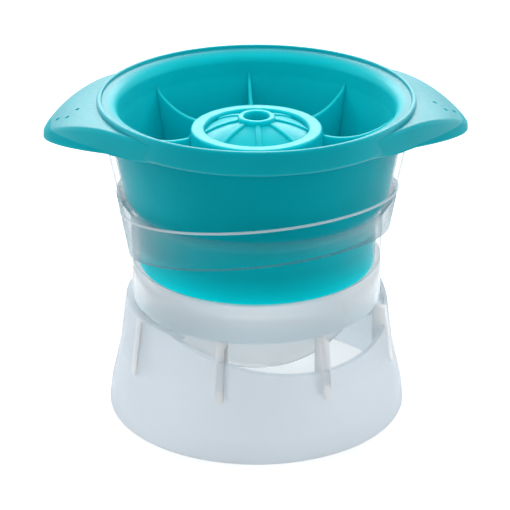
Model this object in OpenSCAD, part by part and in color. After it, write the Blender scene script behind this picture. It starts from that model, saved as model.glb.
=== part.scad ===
// Ice ball mold: a silicone top that plugs into a translucent plastic base.
// +Z is up, +X runs along the two finger tabs, and the origin is the centre of the foot on the table.

/* [Ball] */
// diameter of the ice ball
ball_d = 63.5; // [50:0.5:75]
// clear height between the table and the underside of the bowl
foot_gap = 12.2; // [8:0.2:20]

/* [Base sleeve] */
// wall thickness of the plastic
wall = 1.6; // [1.2:0.1:2.2]
// width of the flat seat round the ball's equator
seat_w = 2.3; // [2:0.1:4]
// height of the straight core above the seat
core_h = 14.6; // [13:0.2:18]
// height of the shoulder above the core
shoulder_h = 5.5; // [4:0.1:8]
// how far the shoulder steps out
shoulder_w = 3.4; // [2.4:0.1:5]
// height of the tapered sleeve above the shoulder
sleeve_h = 20.8; // [16:0.1:26]
// how far the sleeve widens from shoulder to lip
sleeve_flare = 3.9; // [2:0.1:6]
// depth of the level ledge outside the sleeve
ledge_step = 0.45; // [0.2:0.05:0.8]
// direction of the slanting edges, from the front toward +X
slant_dir = 29; // [-90:1:90]
// height of the collar's lower edge above the seat, on the axis
collar_up = 5.3; // [4:0.1:6]
// slope of the collar's lower edge
collar_tilt = 12; // [0:0.5:13]
// depth of the raised line below the ledge, on the axis
line_down = 2.2; // [0:0.1:4]
// slope of the raised line
line_tilt = 10; // [0:0.5:12]
// height of the raised line
line_h = 0.8; // [0.6:0.1:2]
// how far the raised line stands out
line_proud = 0.3; // [0.2:0.05:0.8]

/* [Base skirt] */
// how far the sleeve's hem hangs below the seat
hem_drop = 12.2; // [9:0.2:15]
// how far the skirt stands out at the hem
skirt_step = 2.1; // [1.8:0.1:3]
// height of the skirt's upper band below the hem
band_h = 15.2; // [12:0.1:15.4]
// how far the upper band widens
band_flare = 2; // [1:0.1:3]
// how far the lower skirt widens down to the ankle
flare_w = 2.8; // [2:0.1:4]
// height of the ankle above the table
ankle_h = 6.3; // [4:0.1:9]
// how far the foot stands out past the ankle
foot_w = 0.7; // [0.2:0.1:1.5]
// height of the window's lower edge above the hem, on the axis
window_up = 3.8; // [3:0.1:5]
// slope of the window's lower edge
window_tilt = 18.5; // [14:0.5:22]
// number of fins inside the skirt
fin_count = 8; // [6:1:10]
// thickness of each fin
fin_t = 2.5; // [1.6:0.1:3]
// depth of the fins' lower ends below the hem
fin_drop = 15.9; // [15.8:0.1:19]
// how far each fin stands out of the skirt
fin_proud = 0.45; // [0.2:0.05:0.8]
// how far each fin reaches under the sleeve's wall
fin_in = 0.9; // [0.6:0.1:1.1]
// direction of the first fin, from the front toward +X
fin_turn = 26.6; // [0:0.2:45]

/* [Top plug] */
// gap between the plug and the sleeve
clearance = 0.4; // [0.3:0.05:0.6]
// wall thickness of the silicone
skin = 2.4; // [2:0.1:3]
// height of the silicone above the ball, up to the hub's ring
hub_h = 6.7; // [4:0.1:8]
// radius of the hub
hub_r = 18.5; // [16:0.1:21]
// width of the hub's raised ring
hub_ring_w = 3.8; // [2:0.1:5]
// radius of the domed cap inside the ring
cap_r = 28.5; // [26:0.5:40]
// height of the cap above the ring
cap_h = 2.4; // [1.5:0.1:3]
// width of each spoke on the cap
spoke_t = 1.5; // [0.8:0.1:2.5]
// height of each spoke
spoke_h = 0.55; // [0.3:0.05:1]
// radius of the filling hole
fill_r = 3.65; // [2.5:0.05:4.5]
// wall of the filling boss
boss_wall = 1.55; // [1:0.05:3]
// height of the boss above the cap
boss_h = 1; // [0.7:0.1:2]
// number of webs between hub and wall
web_count = 8; // [4:2:12]
// thickness of each web at the wall
web_t = 1.3; // [0.8:0.1:2]
// depth of the webs' hollow below the hub's ring
web_dip = 3.6; // [2:0.1:6]
// radius of the webs' hollow
web_round = 20.5; // [17:0.1:25]
// distance from the hub to the lowest point of the hollow
web_dip_in = 6; // [4:0.1:8]

/* [Top rim] */
// gap between the rim and the lip of the sleeve
rim_gap = 0.35; // [0.3:0.05:1]
// height of the rim
rim_h = 6.8; // [6:0.1:9]
// how far the rim stands out past the lip
rim_over = 1.2; // [1:0.1:3]
// how far the rim widens downward
rim_flare = 0.55; // [0.2:0.05:1]
// radius of the rim's outer edge
rim_edge = 1; // [0.6:0.1:1.6]
// height of the bead on the rim's edge
rim_bead = 0.8; // [0.4:0.1:1.5]
// radius of the rounded mouth inside the bead
rim_round = 4.4; // [4:0.1:5]
// radius of each finger tab's lobe
tab_r = 15; // [12:0.5:18]
// half the angle that each finger tab takes up of the rim
tab_spread = 43; // [38:0.5:46]
// how far each finger tab reaches past the rim
tab_reach = 15.2; // [12:0.2:18]
// depth of the tabs' root below the rim's edge
tab_sink = 1.4; // [1:0.1:1.6]
// thickness of each tab at the rim
tab_root_t = 5.1; // [4.4:0.1:5.2]
// drop of the tabs' underside from rim to tip
tab_fall = 3.6; // [2:0.1:4.4]
// radius of the tabs' drooping crown
tab_crown_r = 27.7; // [25:0.1:40]
// radius of the grip dimples
dimple_r = 1.3; // [0.8:0.1:2]
// depth of the grip dimples
dimple_sink = 0.4; // [0.2:0.05:0.8]
// spacing of the grip dimples
dimple_gap = 2.8; // [2:0.1:3.2]

/* [Hidden] */
$fn = 96;
eps = 0.02;
big = 300;

// heights of the base
ball_r = ball_d / 2;
bowl_r = ball_r + wall;
seat_z = foot_gap + bowl_r;
core_z = seat_z + core_h;
ledge_z = core_z + shoulder_h;
lip_z = ledge_z + sleeve_h;
hem_z = seat_z - hem_drop;
web_plate = 3.8;
join_z = seat_z - web_plate;
knee_z = hem_z - band_h;
collar_z = seat_z + collar_up;
line_z = ledge_z - line_down;
window_z = hem_z + window_up;

// inside radii of the base
draft = 0.3;
seat_r = ball_r + seat_w;
core_r = seat_r + draft;
ledge_in_r = core_r + shoulder_w;
lip_in_r = ledge_in_r + sleeve_flare;

// outside radii of the base
waist_r = seat_r + wall;
ledge_r = ledge_in_r + wall;
lip_r = lip_in_r + wall;
collar_r = ledge_r + ledge_step;
collar_foot_z = seat_z - 6;
collar_foot_r = waist_r - draft;
collar_slope = (collar_r - collar_foot_r) / (ledge_z - collar_foot_z);
line_top_r = collar_r + collar_slope * (lip_z - ledge_z);
skirt_r = waist_r + skirt_step;
knee_r = skirt_r + band_flare;
ankle_r = knee_r + flare_w;
foot_r = ankle_r + foot_w;
fin_in_r = waist_r - fin_in;
fin_z = hem_z - fin_drop;

// heights and radii of the top
rim_z = lip_z + rim_gap;
rim_top_z = rim_z + rim_h;
rim_r = lip_r + rim_over;
bead_r = rim_r - rim_edge - 0.2;
mouth_r = bead_r - 0.2;
mouth_z = rim_top_z - rim_bead - rim_round;
plug_lip_r = lip_in_r - clearance;
plug_ledge_r = ledge_in_r - clearance;
plug_core_r = core_r - clearance;
plug_seat_r = seat_r - clearance;
funnel_r = plug_lip_r - skin;
dome_r = ball_r + skin;
valley_z = core_z - 4;
hub_top_z = seat_z + ball_r + hub_h;
hub_in_r = hub_r - hub_ring_w;
cap_top_z = hub_top_z + cap_h;
boss_r = fill_r + boss_wall;
boss_top_z = cap_top_z + boss_h;
tab_root_r = rim_r - 0.55;
tab_bend_x = rim_r - 2.5;
tab_tip_x = rim_r + tab_reach;
tab_top_z = rim_top_z - tab_sink;
tab_lobe_x = tab_tip_x - tab_r;
tab_low_z = tab_top_z - tab_root_t - tab_fall;
tab_low_x = tab_bend_x + 0.7 * (tab_tip_x - tab_bend_x);
tab_lead = 1.5;
tab_crown_x = tab_bend_x - tab_lead;
tab_crown_z = tab_top_z - sqrt(tab_crown_r * tab_crown_r - tab_lead * tab_lead);
dimple_x = tab_tip_x - 3.4 - 2 * dimple_gap;
dimple_y = -3.2;

// solid above a plane that slopes up toward the slant direction
module above(mid_z, tilt) {
    translate([0, 0, mid_z])
        rotate([0, 0, slant_dir])
            rotate([-tilt, 0, 0])
                translate([-big / 2, -big / 2, 0])
                    cube(big);
}

// solid cone frustum between two heights
module frustum(z0, r0, z1, r1) {
    translate([0, 0, z0])
        cylinder(h = z1 - z0, r1 = r0, r2 = r1);
}

// ball shape at the seat
module ball(r) {
    translate([0, 0, seat_z])
        sphere(r = r, $fn = 128);
}

// plastic sleeve without its collar, solid
module sleeve_core() {
    rotate_extrude()
        polygon([
            [0, hem_z],
            [waist_r, hem_z],
            [waist_r, seat_z],
            [core_r + wall, core_z],
            [ledge_r, ledge_z],
            [lip_r, lip_z],
            [0, lip_z]
        ]);
}

// tapered collar under the ledge, cut along its slanting lower edge
module collar() {
    intersection() {
        frustum(collar_foot_z, collar_foot_r, ledge_z, collar_r);
        above(collar_z, collar_tilt);
    }
}

// thin slanting line raised on the sleeve and the collar
module raised_line() {
    intersection() {
        frustum(collar_foot_z, collar_foot_r + line_proud, lip_z, line_top_r + line_proud);
        difference() {
            above(line_z - line_h, line_tilt);
            above(line_z, line_tilt);
        }
    }
}

// space for the plug, open at the lip
module plug_space() {
    rotate_extrude()
        polygon([
            [0, seat_z],
            [seat_r, seat_z],
            [core_r, core_z],
            [ledge_in_r, ledge_z],
            [lip_in_r, lip_z],
            [lip_in_r, lip_z + wall],
            [0, lip_z + wall]
        ]);
}

// hollow skirt, closed by a ledge at the hem and cut open above the slanting window edge
module skirt() {
    difference() {
        rotate_extrude()
            polygon([
                [foot_r - wall, 0],
                [foot_r, 0],
                [ankle_r, ankle_h],
                [knee_r, knee_z],
                [skirt_r, hem_z],
                [waist_r - wall / 2, hem_z],
                [waist_r - wall / 2, hem_z + wall],
                [seat_r + draft, hem_z + wall],
                [seat_r + draft, hem_z - wall],
                [skirt_r - wall, hem_z - wall],
                [knee_r - wall, knee_z],
                [ankle_r - wall, ankle_h]
            ]);
        above(window_z, -window_tilt);
    }
}

// one fin from the hem down the skirt, along the front, with a half-round lower edge
module fin() {
    rotate([0, 0, -90])
        intersection() {
            rotate([90, 0, 90])
                linear_extrude(ankle_r + fin_proud) {
                    translate([-fin_t / 2, fin_z])
                        square([fin_t, hem_z + wall - fin_z]);
                    translate([0, fin_z])
                        circle(r = fin_t / 2);
                }
            rotate([90, 0, 0])
                translate([0, 0, -fin_t])
                    linear_extrude(2 * fin_t)
                        polygon([
                            [fin_in_r, ankle_h],
                            [ankle_r + fin_proud, ankle_h],
                            [knee_r + fin_proud, knee_z],
                            [skirt_r + fin_proud, hem_z - fin_proud],
                            [waist_r - draft, hem_z],
                            [waist_r - draft, hem_z + wall],
                            [fin_in_r, hem_z + wall]
                        ]);
        }
}

// plastic base
module plastic_base() {
    color([0.86, 0.9, 0.92, 0.6])
        difference() {
            union() {
                difference() {
                    union() {
                        sleeve_core();
                        collar();
                        raised_line();
                    }
                    frustum(hem_z - wall, seat_r, join_z, seat_r);
                }
                skirt();
                intersection() {
                    ball(bowl_r);
                    frustum(0, 2 * bowl_r, seat_z, 2 * bowl_r);
                }
                for (i = [0 : fin_count - 1])
                    rotate([0, 0, fin_turn + i * 360 / fin_count])
                        fin();
            }
            plug_space();
            ball(ball_r);
        }
}

// solid outer shape of the plug and the rim, with a rounded outer lip
module top_form() {
    rotate_extrude() {
        polygon([
            [0, seat_z],
            [plug_seat_r, seat_z],
            [plug_core_r, core_z],
            [plug_ledge_r, ledge_z],
            [plug_lip_r, lip_z],
            [plug_lip_r, rim_z],
            [rim_r + rim_flare, rim_z],
            [rim_r, rim_top_z - rim_edge],
            [rim_r - rim_edge, rim_top_z],
            [0, rim_top_z]
        ]);
        translate([rim_r - rim_edge, rim_top_z - rim_edge])
            circle(r = rim_edge);
    }
}

// space inside the silicone wall, with a rounded mouth inside the rim's bead
module funnel_form() {
    rotate_extrude()
        difference() {
            polygon([
                [0, valley_z],
                [plug_core_r - skin, valley_z],
                [plug_core_r - skin, core_z],
                [plug_ledge_r - skin, ledge_z],
                [funnel_r, rim_z],
                [funnel_r, mouth_z],
                [bead_r, mouth_z],
                [bead_r - draft / 3, rim_top_z - rim_bead - draft / 3],
                [bead_r, rim_top_z + eps],
                [bead_r, rim_top_z + wall],
                [0, rim_top_z + wall]
            ]);
            translate([mouth_r, mouth_z])
                circle(r = rim_round);
        }
}

// plan of one finger tab: a round lobe with straight sides to the rim, tip toward +X
module tab_plan() {
    root = [tab_root_r * cos(tab_spread), tab_root_r * sin(tab_spread)];
    span = norm([tab_lobe_x - root[0], root[1]]);
    touch_r = tab_r - 0.05;
    turn = asin(touch_r / span) - atan2(root[1], tab_lobe_x - root[0]);
    side = sqrt(span * span - touch_r * touch_r);
    touch = [root[0] + side * cos(turn), root[1] + side * sin(turn)];
    translate([tab_lobe_x, 0])
        circle(r = tab_r);
    polygon([root, touch, [touch[0], -touch[1]], [root[0], -root[1]]]);
}

// slab across one finger tab, from its side view
module tab_slab(points) {
    rotate([90, 0, 0])
        translate([0, 0, -rim_r])
            linear_extrude(2 * rim_r)
                polygon(points);
}

// level at the rim, with a round crown that droops toward the tip
module tab_side() {
    tab_slab([
        [tab_lobe_x - tab_r, tab_top_z],
        [tab_bend_x, tab_top_z],
        [tab_bend_x, tab_top_z - tab_root_t],
        [tab_lobe_x - tab_r, tab_top_z - tab_root_t]
    ]);
    intersection() {
        translate([tab_crown_x, rim_r + eps, tab_crown_z])
            rotate([90, 0, 0])
                cylinder(h = 2 * (rim_r + eps), r = tab_crown_r);
        tab_slab([
            [tab_bend_x, rim_top_z],
            [tab_tip_x + eps, rim_top_z],
            [tab_tip_x + eps, tab_low_z],
            [tab_low_x, tab_low_z],
            [tab_bend_x, tab_top_z - tab_root_t]
        ]);
    }
}

// one finger tab with its grip dimples, tip toward +X
module tab() {
    difference() {
        intersection() {
            translate([0, 0, tab_low_z - tab_root_t])
                linear_extrude(3 * tab_root_t + tab_fall)
                    tab_plan();
            tab_side();
        }
        frustum(tab_low_z - tab_root_t, rim_r - draft, tab_top_z + tab_root_t, rim_r - draft);
        for (i = [0 : 2])
            translate([tab_crown_x, 0, tab_crown_z])
                rotate([0, asin((dimple_x + i * dimple_gap - tab_crown_x) / tab_crown_r), 0])
                    translate([
                        0,
                        dimple_y + (i % 2 == 0 ? dimple_gap : 0),
                        tab_crown_r + dimple_r - dimple_sink
                    ])
                        sphere(r = dimple_r, $fn = 24);
    }
}

// raised hub with its ring, cap, spokes and filling boss
module hub() {
    difference() {
        frustum(core_z, hub_r, hub_top_z, hub_r);
        frustum(hub_top_z - hub_h, hub_in_r, hub_top_z + boss_h, hub_in_r);
    }
    intersection() {
        translate([0, 0, cap_top_z - cap_r])
            sphere(r = cap_r);
        frustum(core_z, hub_in_r + eps, boss_top_z, hub_in_r + eps);
    }
    intersection() {
        translate([0, 0, cap_top_z - cap_r])
            sphere(r = cap_r + spoke_h);
        for (i = [0 : web_count - 1])
            rotate([0, 0, i * 360 / web_count])
                translate([0, -spoke_t / 2, core_z])
                    cube([hub_in_r + draft, spoke_t, boss_top_z - core_z]);
    }
    frustum(core_z, boss_r, boss_top_z, boss_r);
}

// webs across the valley, thicker toward the wall, with hollowed top edges
module webs() {
    difference() {
        for (i = [0 : web_count - 1])
            rotate([0, 0, i * 360 / web_count])
                translate([0, 0, valley_z])
                    linear_extrude(rim_z + boss_h - valley_z)
                        polygon([
                            [hub_in_r, -web_t / 3],
                            [lip_in_r, -web_t / 2],
                            [lip_in_r, web_t / 2],
                            [hub_in_r, web_t / 3]
                        ]);
        rotate_extrude()
            translate([hub_r + web_dip_in, hub_top_z - web_dip + web_round])
                circle(r = web_round);
    }
}

// silicone top
module silicone_top() {
    color([0.0, 0.66, 0.69])
        difference() {
            union() {
                top_form();
                tab();
                mirror([1, 0, 0])
                    tab();
            }
            difference() {
                funnel_form();
                ball(dome_r);
                hub();
                webs();
            }
            ball(ball_r);
            frustum(seat_z, fill_r, rim_top_z, fill_r);
        }
}

silicone_top();
plastic_base();
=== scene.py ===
import math

import bmesh
import bpy
from bpy.props import FloatProperty, FloatVectorProperty, IntProperty, PointerProperty
from mathutils import Matrix, Vector


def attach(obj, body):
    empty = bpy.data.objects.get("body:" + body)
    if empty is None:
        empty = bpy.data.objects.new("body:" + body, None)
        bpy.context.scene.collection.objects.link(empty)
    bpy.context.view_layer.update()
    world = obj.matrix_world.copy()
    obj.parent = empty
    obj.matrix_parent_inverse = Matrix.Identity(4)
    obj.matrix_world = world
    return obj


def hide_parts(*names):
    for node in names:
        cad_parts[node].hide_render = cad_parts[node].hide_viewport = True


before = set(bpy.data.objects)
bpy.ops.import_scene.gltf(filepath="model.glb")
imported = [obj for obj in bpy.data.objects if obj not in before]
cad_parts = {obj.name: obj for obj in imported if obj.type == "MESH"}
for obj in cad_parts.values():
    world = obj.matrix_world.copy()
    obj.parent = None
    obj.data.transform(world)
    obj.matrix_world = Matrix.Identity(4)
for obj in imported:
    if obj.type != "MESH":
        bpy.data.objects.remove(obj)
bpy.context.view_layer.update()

bl_info = {
    "name": "Ice Ball Mold",
    "version": (1, 0, 0),
    "blender": (4, 5, 0),
    "location": "3D View > Sidebar > Ice Mold",
    "description": "Builds a two-piece ice ball mold: a silicone top in a translucent plastic base",
    "category": "Object",
}

MM = 0.001


def length(name, description, millimetres):
    """A length property, with its default given in millimetres."""
    return FloatProperty(name=name, description=description, default=millimetres * MM,
                         min=0.0, unit="LENGTH", precision=5)


def colour(name, description, value):
    """A colour property in linear light."""
    return FloatVectorProperty(name=name, description=description, default=value,
                               size=3, min=0.0, max=1.0, subtype="COLOR")


class MoldTopSizes(bpy.types.PropertyGroup):
    """Sizes of the silicone top"""

    ball_r: length("Ball radius", "Radius of the ice ball", 31.75)
    ball_z: length("Ball height", "Height of the ball's centre above the table", 45.55)
    part_z: length("Parting height", "Height of the joint between the silicone and the bowl", 44.3)
    plug_seat_r: length("Plug foot radius", "Radius of the plug at the seat", 33.65)
    plug_core_r: length("Plug core radius", "Radius of the plug at the top of its core", 33.95)
    plug_ledge_r: length("Plug shoulder radius", "Radius of the plug at its shoulder", 37.35)
    plug_lip_r: length("Plug lip radius", "Radius of the plug under the rim", 41.25)
    core_z: length("Core height", "Height of the top of the core", 60.15)
    ledge_z: length("Shoulder height", "Height of the shoulder", 65.65)
    rim_z: length("Rim underside", "Height of the underside of the rim", 86.8)
    rim_top_z: length("Rim top", "Height of the rim's edge", 93.6)
    rim_r: length("Rim radius", "Outer radius of the rim at its edge", 44.45)
    rim_flare: length("Rim flare", "How far the rim widens downward", 0.55)
    rim_bead: length("Rim bead", "Height of the bead on the rim's edge", 0.8)
    rim_round: length("Rim mouth", "Width of the rounded mouth inside the bead", 4.2)
    skin: length("Skin", "Wall thickness of the silicone", 2.4)
    hub_r: length("Hub radius", "Radius of the hub", 18.5)
    hub_in_r: length("Hub ring radius", "Inner radius of the hub's ring", 14.7)
    hub_top_z: length("Hub height", "Height of the hub's ring", 84.0)
    cap_r: length("Cap curvature", "Radius of the domed cap", 28.5)
    cap_top_z: length("Cap height", "Height of the domed cap", 86.4)
    boss_r: length("Boss radius", "Outer radius of the filling boss", 5.2)
    boss_top_z: length("Boss height", "Height of the filling boss", 87.4)
    fill_r: length("Filling hole", "Radius of the filling hole", 3.65)
    web_t: length("Web thickness", "Thickness of each web at the hub", 1.4)
    web_round: length("Web hollow", "Radius of the webs' hollow top edge", 20.5)
    web_dip: length("Web dip", "Depth of the webs below the hub's ring", 3.6)
    web_dip_in: length("Web dip place", "Distance from the hub to the lowest point of the webs", 6.0)
    spoke_t: length("Spoke width", "Width of each spoke on the cap", 1.5)
    spoke_h: length("Spoke height", "Height of each spoke on the cap", 0.55)
    tab_reach: length("Tab reach", "How far each finger tab reaches past the rim", 15.2)
    tab_blunt: length("Tab bluntness", "Half the width of the blunt end of each tab", 11.0)
    tab_draft: length("Tab draft", "How much wider each tab is below than above, on each side", 0.9)
    tab_sink: length("Tab sink", "Depth of the tabs' crown below the rim's edge", 1.35)
    tab_root_t: length("Tab root thickness", "Thickness of each tab at the rim", 6.65)
    tab_fall: length("Tab fall", "Drop of the tabs' underside from rim to tip", 3.2)
    tab_crown_r: length("Tab crown", "Radius of the tabs' drooping crown", 27.7)
    tab_edge: length("Tab edge", "Radius of the tabs' rounded upper edge", 1.1)
    dimple_r: length("Dimple radius", "Radius of the round grip dimples", 0.8)
    dimple_sink: length("Dimple depth", "Depth of the grip dimples", 0.5)
    dimple_gap: length("Dimple spacing", "Spacing of the grip dimples", 2.8)
    tab_spread: FloatProperty(name="Tab spread", description="Half the angle that each tab takes up of the rim",
                              default=math.radians(52.0), subtype="ANGLE")
    web_count: IntProperty(name="Webs", description="Number of webs and spokes", default=8, min=2)


class MoldBaseSizes(bpy.types.PropertyGroup):
    """Sizes of the plastic base"""

    wall: length("Wall", "Wall thickness of the plastic", 1.6)
    bowl_r: length("Bowl radius", "Outer radius of the bowl", 33.35)
    seat_r: length("Seat radius", "Inner radius at the seat", 34.05)
    core_r: length("Core radius", "Inner radius at the top of the core", 34.35)
    ledge_in_r: length("Shoulder radius", "Inner radius at the shoulder", 37.75)
    lip_in_r: length("Lip radius", "Inner radius at the lip", 41.65)
    lip_z: length("Lip height", "Height of the sleeve's lip", 86.45)
    hem_z: length("Hem height", "Height of the sleeve's lower hem", 33.35)
    join_z: length("Join height", "Height where the bowl joins the sleeve", 40.6)
    haze_z: length("Cloudy height", "Height where the sleeve turns from cloudy to clear", 45.7)
    collar_r: length("Collar radius", "Radius of the collar at the ledge", 39.8)
    collar_foot_r: length("Collar foot radius", "Radius of the collar's cone at its foot", 35.35)
    collar_foot_z: length("Collar foot height", "Height of the foot of the collar's cone", 39.55)
    collar_z: length("Collar edge height", "Height of the collar's lower edge on the axis", 50.85)
    line_z: length("Line height", "Height of the raised line on the axis", 63.6)
    line_h: length("Line width", "Height of the raised line", 0.7)
    line_proud: length("Line relief", "How far the raised line stands out", 0.2)
    skirt_t: length("Skirt wall", "Wall thickness of the skirt", 1.0)
    skirt_r: length("Skirt radius", "Radius of the skirt at the hem", 37.75)
    knee_r: length("Knee radius", "Radius of the skirt at the knee", 39.75)
    knee_z: length("Knee height", "Height of the skirt's knee", 18.15)
    ankle_r: length("Ankle radius", "Radius of the skirt at the ankle", 42.55)
    ankle_z: length("Ankle height", "Height of the skirt's ankle", 6.3)
    foot_r: length("Foot radius", "Radius of the skirt on the table", 43.25)
    window_z: length("Window height", "Height of the window's edge on the axis", 37.15)
    fin_t: length("Fin thickness", "Thickness of each fin", 2.5)
    fin_z: length("Fin foot", "Height of the fins' lower ends", 17.45)
    fin_proud: length("Fin relief", "How far each fin stands out of the skirt", 0.45)
    fin_in_r: length("Fin depth", "Radius of the fins' inner edge", 34.75)
    fin_count: IntProperty(name="Fins", description="Number of fins", default=8, min=2)
    fin_turn: FloatProperty(name="Fin direction", description="Direction of the first fin from the front",
                            default=math.radians(26.6), subtype="ANGLE")
    slant_dir: FloatProperty(name="Slant direction", description="Direction of the slanting edges from the front",
                             default=math.radians(29.0), subtype="ANGLE")
    collar_tilt: FloatProperty(name="Collar slope", description="Slope of the collar's lower edge",
                               default=math.radians(12.0), subtype="ANGLE")
    line_tilt: FloatProperty(name="Line slope", description="Slope of the raised line",
                             default=math.radians(10.0), subtype="ANGLE")
    window_tilt: FloatProperty(name="Window slope", description="Slope of the window's lower edge",
                               default=math.radians(18.5), subtype="ANGLE")


class MoldColours(bpy.types.PropertyGroup):
    """Colours of the two mouldings and the stage"""

    silicone: colour("Silicone", "Colour of the silicone's outside", (0.0, 0.355, 0.415))
    # painted light: the funnel's inside gets a lighter teal that stands in for light bouncing in the funnel and shining
    # through its wall
    silicone_painted_light: colour("Silicone, inside", "Colour of the thin funnel inside, which light shines through", (0.0, 0.57, 0.63))
    # painted light: the plug's foot gets a brighter teal that stands in for light coming through the cloudy bowl
    silicone_foot_painted_light: colour("Silicone, foot", "Colour of the plug's foot, lit through the cloudy bowl", (0.0, 0.65, 0.72))
    clear_haze: colour("Clear plastic haze", "Colour of the clear sleeve where it is seen edge on", (0.28, 0.41, 0.46))
    plastic: colour("Plastic", "Colour of the frosted skirt", (0.86, 0.91, 0.95))
    plastic_pale: colour("Plastic, pale", "Colour of the cloudy bowl", (0.97, 0.99, 1.0))
    # the band is coloured darker and bluer toward its lower edge, just above the skirt
    plastic_hem: colour("Plastic, hem", "Colour of the thick hem under the bowl's band", (0.86, 0.93, 0.96))
    plastic_deep: colour("Plastic, deep", "Colour of the plastic where it is thick", (0.94, 0.98, 1.0))
    floor: colour("Floor", "Colour of the floor", (0.74, 0.74, 0.75))


def top_sizes():
    """The silicone top's sizes from the scene."""
    return bpy.context.scene.mold_top


def base_sizes():
    """The plastic base's sizes from the scene."""
    return bpy.context.scene.mold_base


def oval(centre, wide, high, start, end, steps):
    """Points (r, z) on an ellipse, from one angle to another, both in degrees."""
    points = []
    for i in range(steps + 1):
        angle = math.radians(start + (end - start) * i / steps)
        points.append((centre[0] + wide * math.cos(angle), centre[1] + high * math.sin(angle)))
    return points


def arc(centre, radius, start, end, steps):
    """Points (r, z) on a circle, from one angle to another, both in degrees."""
    return oval(centre, radius, radius, start, end, steps)


def bow(first, pull, last, steps):
    """Points (r, z) on a smooth curve from one point to another, pulled toward a third."""
    points = []
    for i in range(steps + 1):
        t = i / steps
        a, b, c = (1 - t) * (1 - t), 2 * t * (1 - t), t * t
        points.append((a * first[0] + b * pull[0] + c * last[0], a * first[1] + b * pull[1] + c * last[1]))
    return points


def rounded(corners, closed, steps=5):
    """A profile through corners (r, z, radius), each rounded to its radius."""
    points = []
    count = len(corners)
    for i, (x, y, radius) in enumerate(corners):
        here = Vector((x, y))
        if radius <= 0 or (not closed and i in (0, count - 1)):
            points.append(here)
            continue
        back = (Vector(corners[i - 1][:2]) - here)
        ahead = (Vector(corners[(i + 1) % count][:2]) - here)
        reach = min(back.length, ahead.length) * 0.49
        back.normalize()
        ahead.normalize()
        half = back.angle(ahead) / 2
        cut = min(radius / math.tan(half), reach)
        true_radius = cut * math.tan(half)
        centre = here + (back + ahead).normalized() * (true_radius / math.sin(half))
        first = here + back * cut - centre
        last = here + ahead * cut - centre
        turn = first.angle_signed(last)
        for k in range(steps + 1):
            angle = -turn * k / steps
            points.append(centre + Matrix.Rotation(angle, 2) @ first)
    return [(p[0], p[1]) for p in points]


def spin_profile(bm, profile, closed, steps):
    """Spins a profile of (r, z) points a full turn about the vertical axis."""
    verts = [bm.verts.new((max(r, 0.0), 0.0, z)) for r, z in profile]
    edges = [bm.edges.new(pair) for pair in zip(verts, verts[1:])]
    if closed:
        edges.append(bm.edges.new((verts[-1], verts[0])))
    bmesh.ops.spin(bm, geom=verts + edges, cent=(0, 0, 0), axis=(0, 0, 1), dvec=(0, 0, 0),
                   angle=math.tau, steps=steps, use_merge=True, use_duplicate=False)
    bmesh.ops.remove_doubles(bm, verts=bm.verts, dist=2e-7)
    bmesh.ops.dissolve_degenerate(bm, edges=bm.edges, dist=2e-7)
    bmesh.ops.recalc_face_normals(bm, faces=bm.faces)


def slab(bm, outline, thickness, place):
    """A plate with an (r, z) outline, centred on the radial plane of a direction."""
    verts = [bm.verts.new((r, -thickness / 2, z)) for r, z in outline]
    face = bm.faces.new(verts)
    grown = bmesh.ops.extrude_face_region(bm, geom=[face])
    far = [g for g in grown["geom"] if isinstance(g, bmesh.types.BMVert)]
    bmesh.ops.translate(bm, verts=far, vec=(0, thickness, 0))
    bmesh.ops.transform(bm, matrix=place, verts=verts + far)
    return verts, far


def finish_piece(bm, name, body, material, crease=38):
    """Turns a bmesh into a smooth-shaded piece that rides on a body."""
    bmesh.ops.recalc_face_normals(bm, faces=bm.faces)
    mesh = bpy.data.meshes.new(name)
    bm.to_mesh(mesh)
    bm.free()
    mesh.shade_smooth()
    mesh.set_sharp_from_angle(angle=math.radians(crease))
    mesh.materials.append(material)
    piece = bpy.data.objects.new(name, mesh)
    bpy.context.scene.collection.objects.link(piece)
    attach(piece, body)
    return piece


def new_material(name):
    """An empty node material with its tree, shader and output."""
    material = bpy.data.materials.new(name)
    material.use_nodes = True
    tree = material.node_tree
    shader = tree.nodes["Principled BSDF"]
    output = tree.nodes["Material Output"]
    return material, tree, shader, output


def moulded_grain():
    """Group: fine moulded grain and soft mottling, shared by both finishes."""
    found = bpy.data.node_groups.get("Moulded Grain")
    if found:
        return found
    group = bpy.data.node_groups.new("Moulded Grain", "ShaderNodeTree")
    face = group.interface
    face.new_socket("Grain Scale", in_out="INPUT", socket_type="NodeSocketFloat").default_value = 900.0
    face.new_socket("Mottle Scale", in_out="INPUT", socket_type="NodeSocketFloat").default_value = 30.0
    face.new_socket("Grain", in_out="OUTPUT", socket_type="NodeSocketFloat")
    face.new_socket("Mottle", in_out="OUTPUT", socket_type="NodeSocketFloat")
    inside = group.nodes.new("NodeGroupInput")
    outside = group.nodes.new("NodeGroupOutput")
    place = group.nodes.new("ShaderNodeTexCoord")
    grain = group.nodes.new("ShaderNodeTexNoise")
    grain.inputs["Detail"].default_value = 3.0
    mottle = group.nodes.new("ShaderNodeTexNoise")
    mottle.inputs["Detail"].default_value = 2.0
    link = group.links.new
    link(place.outputs["Object"], grain.inputs["Vector"])
    link(place.outputs["Object"], mottle.inputs["Vector"])
    link(inside.outputs["Grain Scale"], grain.inputs["Scale"])
    link(inside.outputs["Mottle Scale"], mottle.inputs["Scale"])
    link(grain.outputs["Fac"], outside.inputs["Grain"])
    link(mottle.outputs["Fac"], outside.inputs["Mottle"])
    return group


def grain_node(tree, grain_scale, mottle_scale):
    """Places the moulded grain group in a material."""
    node = tree.nodes.new("ShaderNodeGroup")
    node.node_tree = moulded_grain()
    node.inputs["Grain Scale"].default_value = grain_scale
    node.inputs["Mottle Scale"].default_value = mottle_scale
    return node


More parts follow.
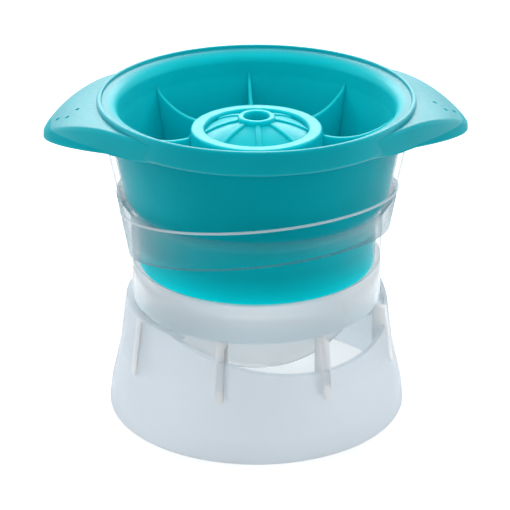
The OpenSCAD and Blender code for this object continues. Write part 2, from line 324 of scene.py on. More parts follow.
def ranged(tree, source, low, high, start=0.35, end=0.65):
    """Maps a grain value to a range."""
    node = tree.nodes.new("ShaderNodeMapRange")
    node.inputs["From Min"].default_value = start
    node.inputs["From Max"].default_value = end
    node.inputs["To Min"].default_value = low
    node.inputs["To Max"].default_value = high
    tree.links.new(source, node.inputs["Value"])
    return node.outputs["Result"]


def mixed_colour(tree, factor, first, second):
    """Mixes two colours by a value."""
    node = tree.nodes.new("ShaderNodeMix")
    node.data_type = "RGBA"
    node.inputs["A"].default_value = (*first, 1.0)
    node.inputs["B"].default_value = (*second, 1.0)
    tree.links.new(factor, node.inputs["Factor"])
    return node.outputs["Result"]


def bumped(tree, shader, height, strength, distance):
    """Adds a fine bump to a shader."""
    node = tree.nodes.new("ShaderNodeBump")
    node.inputs["Strength"].default_value = strength
    node.inputs["Distance"].default_value = distance
    tree.links.new(height, node.inputs["Height"])
    tree.links.new(node.outputs["Normal"], shader.inputs["Normal"])


def silicone_masks(tree):
    """Masks of the silicone: the funnel's inside and the plug's foot, which get painted light, and where it touches the
    sleeve.
    """
    s = top_sizes()
    lean = (s.plug_lip_r - s.plug_ledge_r) / (s.rim_z - s.ledge_z)
    place = tree.nodes.new("ShaderNodeTexCoord")
    axes = tree.nodes.new("ShaderNodeSeparateXYZ")
    flat = tree.nodes.new("ShaderNodeVectorMath")
    flat.operation = "MULTIPLY"
    flat.inputs[1].default_value = (1.0, 1.0, 0.0)
    radius = tree.nodes.new("ShaderNodeVectorMath")
    radius.operation = "LENGTH"
    face = tree.nodes.new("ShaderNodeMath")
    face.operation = "MULTIPLY_ADD"
    face.inputs[1].default_value = lean
    face.inputs[2].default_value = s.plug_ledge_r - lean * s.ledge_z
    depth = tree.nodes.new("ShaderNodeMath")
    depth.operation = "SUBTRACT"
    tree.links.new(place.outputs["Object"], axes.inputs["Vector"])
    tree.links.new(place.outputs["Object"], flat.inputs[0])
    tree.links.new(flat.outputs["Vector"], radius.inputs[0])
    tree.links.new(axes.outputs["Z"], face.inputs[0])
    tree.links.new(face.outputs["Value"], depth.inputs[0])
    tree.links.new(radius.outputs["Value"], depth.inputs[1])
    # the inside mask marks the funnel's inside, which gets painted light
    deep = ranged(tree, depth.outputs["Value"], 0.0, 1.0, 0.4 * MM, 2.2 * MM)
    above = ranged(tree, axes.outputs["Z"], 0.4, 1.0, s.ledge_z - 0.3 * MM, s.ledge_z + 0.3 * MM)
    inside = tree.nodes.new("ShaderNodeMath")
    inside.operation = "MULTIPLY"
    tree.links.new(deep, inside.inputs[0])
    tree.links.new(above, inside.inputs[1])
    # the foot mask marks where the plug's foot gets painted light
    foot = ranged(tree, axes.outputs["Z"], 1.0, 0.0, s.part_z + 1 * MM, s.part_z + 8.4 * MM)
    below = ranged(tree, axes.outputs["Z"], 1.0, 0.0, s.rim_z - 0.4 * MM, s.rim_z)
    outer = ranged(tree, inside.outputs["Value"], 1.0, 0.0, 0.0, 1.0)
    touch = tree.nodes.new("ShaderNodeMath")
    touch.operation = "MULTIPLY"
    tree.links.new(below, touch.inputs[0])
    tree.links.new(outer, touch.inputs[1])
    return inside.outputs["Value"], foot, touch.outputs["Value"]


def silicone_finish():
    """Satin teal silicone."""
    found = bpy.data.materials.get("teal_silicone")
    if found:
        return found
    colours = bpy.context.scene.mold_colours
    material, tree, shader, _ = new_material("teal_silicone")
    grain = grain_node(tree, 1400.0, 38.0)
    inside, foot, touch = silicone_masks(tree)
    # painted light: a lighter teal inside the funnel stands in for bounced light and light shining through the wall
    lit = mixed_colour(tree, inside, colours.silicone, colours.silicone_painted_light)
    # painted light: the plug's foot is coloured brighter to stand in for light coming through the cloudy bowl
    edge = tree.nodes.new("ShaderNodeMix")
    edge.data_type = "RGBA"
    edge.inputs["B"].default_value = (*colours.silicone_foot_painted_light, 1.0)
    tree.links.new(foot, edge.inputs["Factor"])
    tree.links.new(lit, edge.inputs["A"])
    lit = edge.outputs["Result"]
    mottle = ranged(tree, grain.outputs["Mottle"], 0.95, 1.05)
    shade = tree.nodes.new("ShaderNodeMix")
    shade.data_type = "RGBA"
    shade.blend_type = "MULTIPLY"
    shade.inputs["Factor"].default_value = 1.0
    tree.links.new(lit, shade.inputs["A"])
    tree.links.new(mottle, shade.inputs["B"])
    tree.links.new(shade.outputs["Result"], shader.inputs["Base Color"])
    tree.links.new(ranged(tree, grain.outputs["Grain"], 0.36, 0.46), shader.inputs["Roughness"])
    tree.links.new(ranged(tree, touch, 0.42, 0.04, 0.0, 1.0), shader.inputs["Specular IOR Level"])
    facing = tree.nodes.new("ShaderNodeLayerWeight")
    facing.inputs["Blend"].default_value = 0.5
    glance = ranged(tree, facing.outputs["Facing"], 0.0, 1.0, 0.35, 0.6)
    tree.links.new(mixed_colour(tree, glance, (0.1, 1.0, 1.0), (0.95, 1.0, 1.0)), shader.inputs["Specular Tint"])
    shader.inputs["Subsurface Weight"].default_value = 0.5
    shader.inputs["Subsurface Radius"].default_value = (0.25, 1.0, 1.0)
    shader.inputs["Subsurface Scale"].default_value = 0.003
    bumped(tree, shader, grain.outputs["Grain"], 0.12, 0.00012)
    return material


def edge_haze(tree, clear, edge, power):
    """How cloudy a thin wall looks: little face on, more where it is seen edge on."""
    facing = tree.nodes.new("ShaderNodeLayerWeight")
    facing.inputs["Blend"].default_value = 0.5
    raised = tree.nodes.new("ShaderNodeMath")
    raised.operation = "POWER"
    raised.inputs[1].default_value = power
    tree.links.new(facing.outputs["Facing"], raised.inputs[0])
    return ranged(tree, raised.outputs["Value"], clear, edge, 0.0, 1.0)


def lit_through(tree, shader, haze):
    """Sets how cloudy a wall is, and lets most light through it to what lies behind."""
    path = tree.nodes.new("ShaderNodeLightPath")
    share = ranged(tree, path.outputs["Is Shadow Ray"], 1.0, 0.3, 0.0, 1.0)
    less = tree.nodes.new("ShaderNodeMath")
    less.operation = "MULTIPLY"
    tree.links.new(haze, less.inputs[0])
    tree.links.new(share, less.inputs[1])
    tree.links.new(less.outputs["Value"], shader.inputs["Alpha"])


def plastic_shader(name, tint, low, high):
    """Frosted plastic with faint cloudy mottling and fine grain, still opaque."""
    material, tree, shader, _ = new_material(name)
    grain = grain_node(tree, 1500.0, 24.0)
    shade = mixed_colour(tree, grain.outputs["Mottle"], [c * 0.96 for c in tint], [min(1.0, c * 1.04) for c in tint])
    tree.links.new(shade, shader.inputs["Base Color"])
    tree.links.new(ranged(tree, grain.outputs["Grain"], low, high), shader.inputs["Roughness"])
    bumped(tree, shader, grain.outputs["Grain"], 0.03, 0.00003)
    return material, tree, shader, grain


def clear_finish(name, tint, clear, edge, power):
    """Clear plastic over the silicone: almost unseen face on, hazy at its edges."""
    found = bpy.data.materials.get(name)
    if found:
        return found
    colours = bpy.context.scene.mold_colours
    material, tree, shader, _ = plastic_shader(name, getattr(colours, tint), 0.25, 0.35)
    shader.inputs["Specular IOR Level"].default_value = 0.12
    lit_through(tree, shader, edge_haze(tree, clear, edge, power))
    return material


def frosted_finish(name, tint, through):
    """Milky plastic that scatters the light which passes through it."""
    found = bpy.data.materials.get(name)
    if found:
        return found
    material, tree, shader, _ = plastic_shader(name, tint, 0.5, 0.56)
    shader.inputs["IOR"].default_value = 1.25
    shader.inputs["Transmission Weight"].default_value = through
    return material


def bowl_finish():
    """The frosted finish of the bowl and its band, darker and bluer toward the band's lower edge."""
    colours = bpy.context.scene.mold_colours
    material = frosted_finish("bowl_plastic", colours.plastic_pale, 1.0)
    tree = material.node_tree
    shader = tree.nodes["Principled BSDF"]
    hem_z = base_sizes().hem_z
    place = tree.nodes.new("ShaderNodeTexCoord")
    axes = tree.nodes.new("ShaderNodeSeparateXYZ")
    tree.links.new(place.outputs["Object"], axes.inputs["Vector"])
    start = ranged(tree, axes.outputs["Z"], 0.0, 1.0, hem_z - 0.2 * MM, hem_z)
    fade = ranged(tree, axes.outputs["Z"], 1.0, 0.0, hem_z + 0.4 * MM, hem_z + 6 * MM)
    # this mask makes the band darker and bluer over its lowest few millimetres
    thick = tree.nodes.new("ShaderNodeMath")
    thick.operation = "MULTIPLY"
    tree.links.new(start, thick.inputs[0])
    tree.links.new(fade, thick.inputs[1])
    blend = tree.nodes.new("ShaderNodeMix")
    blend.data_type = "RGBA"
    blend.inputs["B"].default_value = (*colours.plastic_hem, 1.0)
    tree.links.new(shader.inputs["Base Color"].links[0].from_socket, blend.inputs["A"])
    tree.links.new(thick.outputs["Value"], blend.inputs["Factor"])
    tree.links.new(blend.outputs["Result"], shader.inputs["Base Color"])
    return material


def fin_finish():
    """The milky finish of the thick fins, with light scattered inside them."""
    tint = bpy.context.scene.mold_colours.plastic_deep
    material = frosted_finish("fin_plastic", tint, 0.0)
    shader = material.node_tree.nodes["Principled BSDF"]
    shader.inputs["Subsurface Weight"].default_value = 0.8
    shader.inputs["Subsurface Radius"].default_value = (0.8, 0.9, 1.0)
    shader.inputs["Subsurface Scale"].default_value = 0.006
    return material


class MOLD_OT_silicone_shell(bpy.types.Operator):
    """Spin the silicone plug, rim, funnel, dome, hub and half-ball hollow"""

    bl_idname = "mold.silicone_shell"
    bl_label = "Silicone Shell"

    def execute(self, context):
        s = top_sizes()
        equator = (0.0, s.ball_z)
        dome_r = s.ball_r + s.skin
        funnel_r = s.plug_lip_r - s.skin
        cap_z = s.cap_top_z - s.cap_r
        hole = math.degrees(math.acos(s.fill_r / s.ball_r))
        cap_in = math.degrees(math.acos(s.boss_r / s.cap_r))
        cap_out = math.degrees(math.acos(s.hub_in_r / s.cap_r))
        dome_in = math.degrees(math.acos(s.hub_r / dome_r))
        valley_r = s.plug_core_r - s.skin
        dome_out = math.degrees(math.acos(valley_r / dome_r))
        bead_z = s.rim_top_z - s.rim_bead
        mouth_r = funnel_r + s.rim_round
        mouth_h = 0.8 * s.rim_round
        outside = rounded([
            (s.ball_r, s.part_z, 0),
            (s.plug_seat_r, s.part_z, 0.5 * MM),
            (s.plug_core_r, s.core_z, 3 * MM),
            (s.plug_ledge_r, s.ledge_z, 3 * MM),
            (s.plug_lip_r, s.rim_z, 0.3 * MM),
            (s.rim_r + s.rim_flare, s.rim_z, 1.0 * MM),
            (s.rim_r, s.rim_top_z, 0.9 * MM),
            (s.rim_r - 1.15 * MM, s.rim_top_z, 0.3 * MM),
            (mouth_r + 0.05 * MM, bead_z, 0.2 * MM),
            (mouth_r - 0.3 * MM, bead_z, 0),
        ], False)
        mouth = oval((mouth_r, bead_z - mouth_h), s.rim_round, mouth_h, 96.0, 174.0, 18)
        wall = rounded([
            (funnel_r, bead_z - mouth_h, 0),
            (funnel_r - 0.25 * MM, s.rim_z - 1 * MM, 4 * MM),
            (s.plug_ledge_r - s.skin, s.ledge_z, 6 * MM),
            (valley_r, s.core_z, 0),
        ], False)
        dome = arc(equator, dome_r, dome_out + 2.0, dome_in, 20)
        hub = rounded([
            (*dome[-1], 0),
            (s.hub_r, s.hub_top_z, 0.8 * MM),
            (s.hub_in_r, s.hub_top_z, 0.7 * MM),
            (s.hub_in_r, cap_z + s.cap_r * math.sin(math.radians(cap_out)), 0.5 * MM),
        ], False)
        cap = arc((0.0, cap_z), s.cap_r, cap_out + 0.8, cap_in - 0.6, 12)
        boss = rounded([
            (s.boss_r, cap_z + s.cap_r * math.sin(math.radians(cap_in)), 0),
            (s.boss_r, s.boss_top_z, 0.6 * MM),
            (s.fill_r, s.boss_top_z, 0.5 * MM),
            (s.fill_r, s.ball_z + s.ball_r * math.sin(math.radians(hole)), 0),
        ], False)
        hollow = arc(equator, s.ball_r, hole, 0.0, 40)[1:-1]
        bm = bmesh.new()
        spin_profile(bm, outside + mouth + wall + dome + hub[1:] + cap + boss + hollow, True, 160)
        piece = finish_piece(bm, "silicone_shell", "top", silicone_finish())
        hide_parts("silicone_top")
        return {"FINISHED"}


class MOLD_OT_finger_tabs(bpy.types.Operator):
    """Build the two drooping finger tabs on the rim"""

    bl_idname = "mold.finger_tabs"
    bl_label = "Finger Tabs"

    def outline(self, s, inset):
        """Plan of one tab: two bowed flanks that meet at the blunt tip, and a hidden root inside the rim."""
        tip_x = s.rim_r + s.tab_reach
        spread = s.tab_spread - 2.6 * inset / s.rim_r
        start = ((s.rim_r + 0.1 * MM) * math.cos(spread), (s.rim_r + 0.1 * MM) * math.sin(spread))
        flank = bow(start, (tip_x - 0.15 * inset, s.tab_blunt - 1.5 * inset), (tip_x - 0.15 * inset, 0.0), 40)
        lower = [(x, -y) for x, y in flank]
        upper = list(reversed(flank[:-1]))
        root = arc((0.0, 0.0), s.rim_r - 1.4 * MM, math.degrees(spread), -math.degrees(spread), 30)
        return lower + upper + root

    def dent(self, piece, places, radius):
        """Presses round dimples into a piece."""
        bm = bmesh.new()
        for place in places:
            bmesh.ops.create_uvsphere(bm, u_segments=24, v_segments=16, radius=radius,
                                      matrix=Matrix.Translation(place))
        mesh = bpy.data.meshes.new("dimple_stamp")
        bm.to_mesh(mesh)
        bm.free()
        stamp = bpy.data.objects.new("dimple_stamp", mesh)
        bpy.context.scene.collection.objects.link(stamp)
        cut = piece.modifiers.new("dimples", "BOOLEAN")
        cut.operation = "DIFFERENCE"
        cut.solver = "EXACT"
        cut.object = stamp
        graph = bpy.context.evaluated_depsgraph_get()
        dented = bpy.data.meshes.new_from_object(piece.evaluated_get(graph))
        piece.modifiers.remove(cut)
        bpy.data.objects.remove(stamp)
        bpy.data.meshes.remove(mesh)
        dented.shade_smooth()
        dented.set_sharp_from_angle(angle=math.radians(38))
        piece.data = dented

    def execute(self, context):
        s = top_sizes()
        top_z = s.rim_top_z - s.tab_sink
        tip_x = s.rim_r + s.tab_reach
        bend_x = s.rim_r - 2.5 * MM
        lead = 1.5 * MM
        crown_x = bend_x - lead
        axis_z = top_z - math.sqrt(s.tab_crown_r ** 2 - lead ** 2)

        def crown_z(x):
            """Height of the tab's crown: level at the rim, then round."""
            return axis_z + math.sqrt(s.tab_crown_r ** 2 - max(lead, x - crown_x) ** 2)

        def under_z(x, y):
            """Height of the tab's underside, which rises to the rim's underside at both flanks."""
            along = min(1.0, max(0.0, (x - bend_x) / (tip_x - bend_x)))
            near = min(1.0, max(0.0, (s.tab_spread - abs(math.atan2(y, x))) / math.radians(16.0)))
            dip = (s.rim_z - top_z + s.tab_root_t) * near * near * (3.0 - 2.0 * near)
            return s.rim_z - dip - s.tab_fall * along

        bm = bmesh.new()
        lower = [bm.verts.new((x, y, -s.tab_root_t)) for x, y in self.outline(s, 0.0)]
        upper = [bm.verts.new((x, y, 0.0)) for x, y in self.outline(s, s.tab_draft)]
        for ring in (lower, upper):
            bm.faces.new(ring)
        loops = [e for e in bm.edges]
        bmesh.ops.bridge_loops(bm, edges=loops)
        bmesh.ops.recalc_face_normals(bm, faces=bm.faces)
        for level, width in ((0.0, s.tab_edge), (-s.tab_root_t, 0.9 * MM)):
            edges = [e for e in bm.edges if all(abs(v.co.z - level) < 1e-6 for v in e.verts)
                     and all(v.co.xy.length > s.rim_r - 0.2 * MM for v in e.verts)]
            bmesh.ops.bevel(bm, geom=edges, offset=width, offset_type="OFFSET", affect="EDGES",
                            segments=5, profile=0.5, material=-1, clamp_overlap=True)
        for i in range(17):
            cut_x = bend_x + i * 1.05 * MM
            bmesh.ops.bisect_plane(bm, geom=bm.verts[:] + bm.edges[:] + bm.faces[:],
                                   plane_co=(cut_x, 0, 0), plane_no=(1, 0, 0), dist=1e-7)
        for v in bm.verts:
            down = -v.co.z / s.tab_root_t
            v.co.z = crown_z(v.co.x) * (1.0 - down) + under_z(v.co.x, v.co.y) * down
            if v.co.xy.length < s.rim_r - 0.2 * MM:
                v.co.z = min(max(v.co.z, s.rim_z + 0.3 * MM), top_z - 0.1 * MM)
        twin = bmesh.ops.duplicate(bm, geom=bm.verts[:] + bm.edges[:] + bm.faces[:])
        copies = [g for g in twin["geom"] if isinstance(g, bmesh.types.BMVert)]
        bmesh.ops.scale(bm, verts=copies, vec=(-1, 1, 1))
        piece = finish_piece(bm, "finger_tabs", "top", silicone_finish(), 50)

        places = []
        for side in (-1, 1):
            for i in range(3):
                lean = math.asin((tip_x - 4.2 * MM - (2 - i) * s.dimple_gap - crown_x) / s.tab_crown_r)
                away = s.tab_crown_r + s.dimple_r - s.dimple_sink
                x = crown_x + away * math.sin(lean)
                y = -3.9 * MM + (s.dimple_gap if i % 2 == 0 else 0.0)
                places.append((side * x, y, axis_z + away * math.cos(lean)))
        self.dent(piece, places, s.dimple_r)
        return {"FINISHED"}


class MOLD_OT_webs(bpy.types.Operator):
    """Build the thin webs between the hub and the funnel wall"""

    bl_idname = "mold.webs"
    bl_label = "Webs"

    def execute(self, context):
        s = top_sizes()
        sunk = 0.7 * MM
        dome_r = s.ball_r + s.skin - sunk
        valley_r = s.plug_core_r - s.skin
        funnel_r = s.plug_lip_r - s.skin
        dip = (s.hub_r + s.web_dip_in, s.hub_top_z - s.web_dip + s.web_round)
        inner_r = s.hub_r - sunk
        outer_r = funnel_r + sunk
        wall_r = funnel_r - 2.6 * MM
        first = math.degrees(math.acos((s.hub_r + 1.4 * MM - dip[0]) / s.web_round))
        last = math.degrees(math.acos((wall_r - dip[0]) / s.web_round))
        hollow = arc(dip, s.web_round, -first, -last, 18)
        rise = bow(hollow[-1], (funnel_r - 0.5 * MM, hollow[-1][1] + 1.0 * MM),
                   (funnel_r - 0.1 * MM, hollow[-1][1] + 3.4 * MM), 6)
        near_hub = bow((s.hub_r + 0.05 * MM, hollow[0][1] + 1.5 * MM),
                       (s.hub_r + 0.2 * MM, hollow[0][1] + 0.2 * MM), hollow[0], 5)
        under = arc((0.0, s.ball_z), dome_r, math.degrees(math.acos(valley_r / dome_r)),
                    math.degrees(math.acos(inner_r / dome_r)), 12)
        crest_line = near_hub + hollow[1:] + rise[1:]
        outline = [(inner_r, near_hub[0][1])] + crest_line + [
            (outer_r, rise[-1][1]),
            (s.plug_ledge_r - s.skin + sunk, s.ledge_z),
            (valley_r + sunk, s.core_z),
        ] + under
        bm = bmesh.new()
        for i in range(s.web_count):
            turn = Matrix.Rotation(math.tau * i / s.web_count, 4, "Z")
            near, far = slab(bm, outline, s.web_t, Matrix.Identity(4))
            for v in near + far:
                v.co.y *= 1.0 - 0.35 * (v.co.x - inner_r) / (outer_r - inner_r)
            crest = [e for e in bm.edges if e.is_valid and all(v in near or v in far for v in e.verts)
                     and e.calc_face_angle(0.0) > math.radians(60)
                     and min(v.co.z for v in e.verts) > s.hub_top_z - s.web_dip - 1 * MM]
            ring = bmesh.ops.bevel(bm, geom=crest, offset=0.4 * MM, offset_type="OFFSET", affect="EDGES",
                                   segments=3, profile=0.5, material=-1, clamp_overlap=True)
            made = set(ring["verts"]) | {v for v in near + far if v.is_valid}
            bmesh.ops.transform(bm, matrix=turn, verts=list(made))
        finish_piece(bm, "silicone_webs", "top", silicone_finish(), 50)
        return {"FINISHED"}


class MOLD_OT_spokes(bpy.types.Operator):
    """Build the low spokes on the domed cap"""

    bl_idname = "mold.spokes"
    bl_label = "Spokes"

    def execute(self, context):
        s = top_sizes()
        centre = (0.0, s.cap_top_z - s.cap_r)
        inner = math.degrees(math.acos((s.boss_r - 0.6 * MM) / s.cap_r))
        outer = math.degrees(math.acos((s.hub_in_r + 0.5 * MM) / s.cap_r))
        crest = arc(centre, s.cap_r + s.spoke_h, inner, outer, 12)
        root = arc(centre, s.cap_r - 0.6 * MM, outer, inner, 12)
        bm = bmesh.new()
        for i in range(s.web_count):
            turn = Matrix.Rotation(math.tau * i / s.web_count, 4, "Z")
            near, far = slab(bm, crest + root, s.spoke_t, turn)
            tops = set(near[:len(crest)]) | set(far[:len(crest)])
            ridge = [e for e in bm.edges if all(v in tops for v in e.verts)
                     and e.calc_face_angle(0.0) > math.radians(60)]
            bmesh.ops.bevel(bm, geom=ridge, offset=0.4 * MM, offset_type="OFFSET", affect="EDGES",
                            segments=3, profile=0.5, material=-1, clamp_overlap=True)
        finish_piece(bm, "silicone_spokes", "top", silicone_finish(), 50)
        return {"FINISHED"}


class MOLD_OT_cup(bpy.types.Operator):
    """Spin the thin-walled cup: the cloudy bowl with its band, and the clear sleeve above"""

    bl_idname = "mold.cup"
    bl_label = "Plastic Cup"

    def execute(self, context):
        s = base_sizes()
        ball_z = top_sizes().ball_z
        part_z = top_sizes().part_z
        core_z = top_sizes().core_z
        ledge_z = top_sizes().ledge_z
        ball_r = s.bowl_r - s.wall
        centre = (0.0, ball_z)
        waist_r = s.seat_r + s.wall
        join = math.degrees(math.asin((s.join_z - ball_z) / s.bowl_r))
        edge = math.degrees(math.asin((part_z - ball_z) / ball_r))
        slope = 0.75 * MM
        outside = arc(centre, s.bowl_r, -90.0, join - 1.5, 36)
        band = rounded([
            (s.seat_r - 0.2 * MM, s.join_z, 0),
            (s.seat_r, s.hem_z, 0.6 * MM),
            (waist_r, s.hem_z, 1.3 * MM),
            (waist_r, s.haze_z, 0.05 * MM),
            (s.seat_r, s.haze_z - slope, 0),
            (s.seat_r, part_z, 0.2 * MM),
            (ball_r, part_z, 0),
        ], False)
        hollow = arc(centre, ball_r, edge, -90.0, 36)[1:]
        bm = bmesh.new()
        spin_profile(bm, outside + band + hollow, False, 160)
        piece = finish_piece(bm, "plastic_bowl", "base", bowl_finish())
        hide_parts("plastic_base")

        foot_z = s.haze_z + 0.04 * MM
        bm = bmesh.new()
        spin_profile(bm, rounded([
            (s.seat_r, foot_z - slope, 0),
            (waist_r, foot_z, 0.05 * MM),
            (s.core_r + s.wall, core_z, 3 * MM),
            (s.ledge_in_r + s.wall, ledge_z, 3 * MM),
            (s.lip_in_r + s.wall, s.lip_z, 0.6 * MM),
            (s.lip_in_r, s.lip_z, 0.5 * MM),
            (s.ledge_in_r, ledge_z, 3 * MM),
            (s.core_r, core_z, 3 * MM),
        ], True), True, 160)
        finish_piece(bm, "plastic_sleeve", "base", clear_finish("sleeve_plastic", "clear_haze", 0.002, 1.0, 8.0))
        return {"FINISHED"}


def slant_plane(direction, tilt):
    """Normal of a plane that slopes up toward a direction measured from the front."""
    toward = Vector((math.sin(direction), -math.cos(direction), 0.0))
    return (Vector((0, 0, 1)) * math.cos(tilt) - toward * math.sin(tilt)).normalized()


def cut_open(bm, height, normal):
    """Cuts away all above (along the normal of) a slanting plane and closes the cut."""
    geom = bm.verts[:] + bm.edges[:] + bm.faces[:]
    bmesh.ops.bisect_plane(bm, geom=geom, plane_co=(0, 0, height), plane_no=normal,
                           dist=1e-7, clear_outer=True)
    loose = [e for e in bm.edges if e.is_boundary]
    bmesh.ops.triangle_fill(bm, use_beauty=True, use_dissolve=False, edges=loose)


class MOLD_OT_collar(bpy.types.Operator):
    """Build the collar with its slanting lower edge and the raised slanting line"""

    bl_idname = "mold.collar"
    bl_label = "Collar and Line"

    def execute(self, context):
        s = base_sizes()
        t = top_sizes()
        slope = (s.collar_r - s.collar_foot_r) / (t.ledge_z - s.collar_foot_z)
        waist_r = s.seat_r + s.wall
        low_z = s.collar_foot_z + (waist_r - s.collar_foot_r) / slope
        steps = 160

        bm = bmesh.new()
        spin_profile(bm, rounded([
            (waist_r - 0.2 * MM, low_z, 0),
            (waist_r, low_z, 0),
            (s.collar_r, t.ledge_z, 0.35 * MM),
            (s.ledge_in_r + s.wall - 0.2 * MM, t.ledge_z, 0),
            (s.core_r + s.wall - 0.2 * MM, t.core_z, 0),
        ], True, 3), True, steps)
        cut_open(bm, s.collar_z, -slant_plane(s.slant_dir, s.collar_tilt))
        finish_piece(bm, "plastic_collar", "base", clear_finish("collar_plastic", "clear_haze", 0.001, 1.0, 2.5))

        bm = bmesh.new()
        spin_profile(bm, arc((1.0, 0.0), 0.5, 0.0, 337.5, 15), True, steps)
        tan_tilt = math.tan(s.line_tilt)
        for v in bm.verts:
            radius = v.co.xy.length
            turn = math.atan2(v.co.x, -v.co.y)
            lean = math.cos(turn - s.slant_dir) * tan_tilt
            line_z = (s.line_z + lean * (s.collar_foot_r - slope * s.collar_foot_z)) / (1 - lean * slope)
            line_r = s.collar_foot_r + slope * (line_z - s.collar_foot_z)
            r = line_r - 0.25 * MM + (radius - 1.0) * 2 * (s.line_proud + 0.25 * MM)
            away = v.co.xy.normalized() * r
            v.co = (away.x, away.y, line_z + v.co.z * s.line_h - s.line_h / 2)
        # painted highlight: the raised line is a real bead, but its whitish, cloudy haze stands in for the light it
        # catches
        finish_piece(bm, "plastic_line", "base", clear_finish("line_plastic_painted_highlight", "plastic", 0.4, 0.7, 2.0))
        return {"FINISHED"}


class MOLD_OT_skirt(bpy.types.Operator):
    """Spin the hollow skirt and cut its slanting window"""

    bl_idname = "mold.skirt"
    bl_label = "Skirt"

    def execute(self, context):
        s = base_sizes()
        waist_r = s.seat_r + s.wall
        profile = rounded([
            (s.foot_r - s.skirt_t, 0.0, 0.4 * MM),
            (s.foot_r, 0.0, 0.4 * MM),
            (s.ankle_r, s.ankle_z, 5 * MM),
            (s.knee_r, s.knee_z, 0.8 * MM),
            (s.skirt_r, s.hem_z, 0.5 * MM),
            (waist_r - 0.3 * MM, s.hem_z, 0),
            (waist_r - 0.3 * MM, s.hem_z - s.skirt_t, 0),
            (s.skirt_r - s.skirt_t, s.hem_z - s.skirt_t, 0.6 * MM),
            (s.knee_r - s.skirt_t, s.knee_z, 3 * MM),
            (s.ankle_r - s.skirt_t, s.ankle_z, 5 * MM),
        ], True)
        bm = bmesh.new()
        spin_profile(bm, profile, True, 160)
        cut_open(bm, s.window_z, slant_plane(s.slant_dir, -s.window_tilt))
        tint = context.scene.mold_colours.plastic
        finish_piece(bm, "plastic_skirt", "base", frosted_finish("skirt_plastic", tint, 0.54))
        return {"FINISHED"}


class MOLD_OT_fins(bpy.types.Operator):
    """Build the short fins that run from the hem down the skirt"""

    bl_idname = "mold.fins"
    bl_label = "Fins"

    def execute(self, context):
        s = base_sizes()
        half = s.fin_t / 2
        flare = (s.ankle_r - s.knee_r) / (s.knee_z - s.ankle_z)
        band = (s.knee_r - s.skirt_r) / (s.hem_z - s.knee_z)
        neck_r = s.seat_r + s.wall - 0.3 * MM

        def face_r(z):
            """Radius of a fin's outer face."""
            if z > s.hem_z - s.fin_proud:
                return neck_r
            if z > s.knee_z:
                return s.skirt_r + band * (s.hem_z - z) + s.fin_proud
            return s.knee_r + flare * (s.knee_z - z) + s.fin_proud

        levels = [s.hem_z + 0.3 * MM, s.hem_z - 0.9 * s.fin_proud, s.hem_z - 1.1 * s.fin_proud, s.knee_z]
        foot = arc((0.0, s.fin_z), half, 0.0, -180.0, 16)
        outline = [(half, z) for z in levels] + foot + [(-half, z) for z in reversed(levels)]
        bm = bmesh.new()
        for i in range(s.fin_count):
            inner = [bm.verts.new((s.fin_in_r, y, z)) for y, z in outline]
            grown = bmesh.ops.extrude_face_region(bm, geom=[bm.faces.new(inner)])
            outer = [g for g in grown["geom"] if isinstance(g, bmesh.types.BMVert)]
            for v in outer:
                v.co.x = face_r(v.co.z)
            edge = [e for e in bm.edges if e.is_valid and all(v in outer for v in e.verts)
                    and e.calc_face_angle(0.0) > math.radians(60)]
            made = bmesh.ops.bevel(bm, geom=edge, offset=0.35 * MM, offset_type="OFFSET", affect="EDGES",
                                   segments=3, profile=0.5, material=-1, clamp_overlap=True)
            own = set(made["verts"]) | {v for v in inner + outer if v.is_valid}
            turn = Matrix.Rotation(s.fin_turn + math.tau * i / s.fin_count - math.pi / 2, 4, "Z")
            bmesh.ops.transform(bm, matrix=turn, verts=list(own))
        finish_piece(bm, "plastic_fins", "base", fin_finish(), 50)
        return {"FINISHED"}


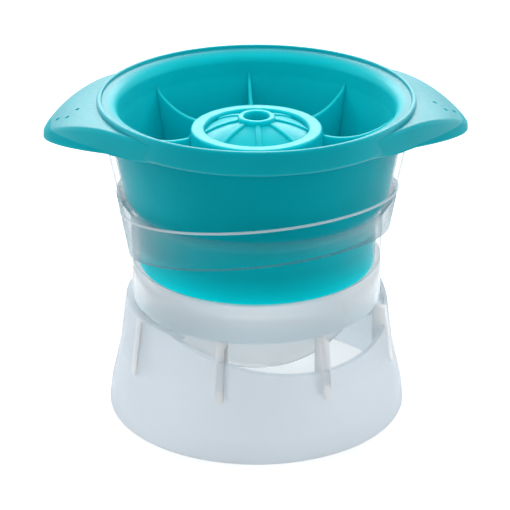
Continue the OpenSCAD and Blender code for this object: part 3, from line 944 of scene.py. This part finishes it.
class MOLD_OT_stage(bpy.types.Operator):
    """Set the floor, the soft studio light and the camera"""

    bl_idname = "mold.stage"
    bl_label = "Stage"

    def softbox(self, name, place, target, width, height, power):
        """A soft area light that looks at a point."""
        lamp = bpy.data.lights.new(name, "AREA")
        lamp.shape = "RECTANGLE"
        lamp.size = width
        lamp.size_y = height
        lamp.energy = power
        holder = bpy.data.objects.new(name, lamp)
        holder.location = place
        holder.rotation_euler = (Vector(target) - Vector(place)).to_track_quat("-Z", "Y").to_euler()
        bpy.context.scene.collection.objects.link(holder)
        return holder

    def seen_white(self, tree):
        """A mask of the rays that show the white backdrop: the camera's, reflected and refracted ones."""
        path = tree.nodes.new("ShaderNodeLightPath")
        mask = path.outputs["Is Camera Ray"]
        for kind in ("Is Glossy Ray", "Is Transmission Ray"):
            either = tree.nodes.new("ShaderNodeMath")
            either.operation = "MAXIMUM"
            tree.links.new(mask, either.inputs[0])
            tree.links.new(path.outputs[kind], either.inputs[1])
            mask = either.outputs["Value"]
        return mask

    def floor_finish(self):
        """Pale floor that looks white and keeps the object's soft shadow."""
        colours = bpy.context.scene.mold_colours
        material, tree, shader, output = new_material("pale_floor")
        grain = grain_node(tree, 60.0, 4.0)
        lower = [c * 0.985 for c in colours.floor]
        tree.links.new(mixed_colour(tree, grain.outputs["Mottle"], lower, colours.floor),
                       shader.inputs["Base Color"])
        shader.inputs["Roughness"].default_value = 0.8
        glow = tree.nodes.new("ShaderNodeEmission")
        glow.inputs["Strength"].default_value = 0.46
        add = tree.nodes.new("ShaderNodeAddShader")
        pick = tree.nodes.new("ShaderNodeMixShader")
        tree.links.new(self.seen_white(tree), pick.inputs["Fac"])
        tree.links.new(shader.outputs["BSDF"], add.inputs[0])
        tree.links.new(glow.outputs["Emission"], add.inputs[1])
        tree.links.new(shader.outputs["BSDF"], pick.inputs[1])
        tree.links.new(add.outputs["Shader"], pick.inputs[2])
        tree.links.new(pick.outputs["Shader"], output.inputs["Surface"])
        return material

    def execute(self, context):
        scene = context.scene
        scene.view_settings.view_transform = "Standard"

        world = bpy.data.worlds.new("studio")
        scene.world = world
        world.use_nodes = True
        tree = world.node_tree
        light = tree.nodes["Background"]
        light.inputs["Color"].default_value = (0.93, 0.96, 1.0, 1.0)
        light.inputs["Strength"].default_value = 0.66
        white = tree.nodes.new("ShaderNodeBackground")
        white.inputs["Color"].default_value = (1.0, 1.0, 1.0, 1.0)
        white.inputs["Strength"].default_value = 1.0
        pick = tree.nodes.new("ShaderNodeMixShader")
        tree.links.new(self.seen_white(tree), pick.inputs["Fac"])
        tree.links.new(light.outputs["Background"], pick.inputs[1])
        tree.links.new(white.outputs["Background"], pick.inputs[2])
        tree.links.new(pick.outputs["Shader"], tree.nodes["World Output"].inputs["Surface"])

        bm = bmesh.new()
        bmesh.ops.create_grid(bm, x_segments=8, y_segments=8, size=3.0)
        mesh = bpy.data.meshes.new("floor")
        bm.to_mesh(mesh)
        bm.free()
        mesh.materials.append(self.floor_finish())
        floor = bpy.data.objects.new("floor", mesh)
        scene.collection.objects.link(floor)

        aim = (0.0, 0.0, 0.06)
        self.softbox("top_softbox", (0.0, 0.05, 0.95), aim, 0.9, 0.9, 2.7)
        self.softbox("back_softbox", (0.0, 1.05, 0.62), aim, 1.5, 0.35, 11.0)
        self.softbox("left_softbox", (-1.0, 0.1, 0.4), aim, 0.5, 0.8, 1.9)
        self.softbox("right_softbox", (1.0, 0.1, 0.4), aim, 0.5, 0.8, 1.9)

        lens = bpy.data.cameras.new("camera")
        lens.sensor_width = 36.0
        lens.lens = 148.38
        lens.clip_start = 0.01
        camera = bpy.data.objects.new("camera", lens)
        camera.location = (-0.03126, -0.55137, 0.29263)
        camera.rotation_euler = (math.radians(90 - 24.186), 0.0, math.radians(-3.2))
        scene.collection.objects.link(camera)
        scene.camera = camera
        return {"FINISHED"}


class MOLD_PT_panel(bpy.types.Panel):
    """Lists the pieces of the mold and their sizes"""

    bl_idname = "MOLD_PT_panel"
    bl_label = "Ice Ball Mold"
    bl_space_type = "VIEW_3D"
    bl_region_type = "UI"
    bl_category = "Ice Mold"

    def draw(self, context):
        layout = self.layout
        for operator in PIECES:
            layout.operator(operator.bl_idname)
        for group in ("mold_top", "mold_base", "mold_colours"):
            box = layout.box()
            holder = getattr(context.scene, group)
            for key in holder.bl_rna.properties.keys():
                if key not in ("rna_type", "name"):
                    box.prop(holder, key)


PIECES = (
    MOLD_OT_silicone_shell,
    MOLD_OT_finger_tabs,
    MOLD_OT_webs,
    MOLD_OT_spokes,
    MOLD_OT_cup,
    MOLD_OT_collar,
    MOLD_OT_skirt,
    MOLD_OT_fins,
    MOLD_OT_stage,
)
GROUPS = (MoldTopSizes, MoldBaseSizes, MoldColours)


def register():
    for cls in GROUPS + PIECES + (MOLD_PT_panel,):
        bpy.utils.register_class(cls)
    bpy.types.Scene.mold_top = PointerProperty(type=MoldTopSizes)
    bpy.types.Scene.mold_base = PointerProperty(type=MoldBaseSizes)
    bpy.types.Scene.mold_colours = PointerProperty(type=MoldColours)


def unregister():
    del bpy.types.Scene.mold_colours
    del bpy.types.Scene.mold_base
    del bpy.types.Scene.mold_top
    for cls in reversed(GROUPS + PIECES + (MOLD_PT_panel,)):
        bpy.utils.unregister_class(cls)


def main():
    register()
    bpy.ops.mold.silicone_shell()
    bpy.ops.mold.finger_tabs()
    bpy.ops.mold.webs()
    bpy.ops.mold.spokes()
    bpy.ops.mold.cup()
    bpy.ops.mold.collar()
    bpy.ops.mold.skirt()
    bpy.ops.mold.fins()
    bpy.ops.mold.stage()


if __name__ == "__main__":
    main()
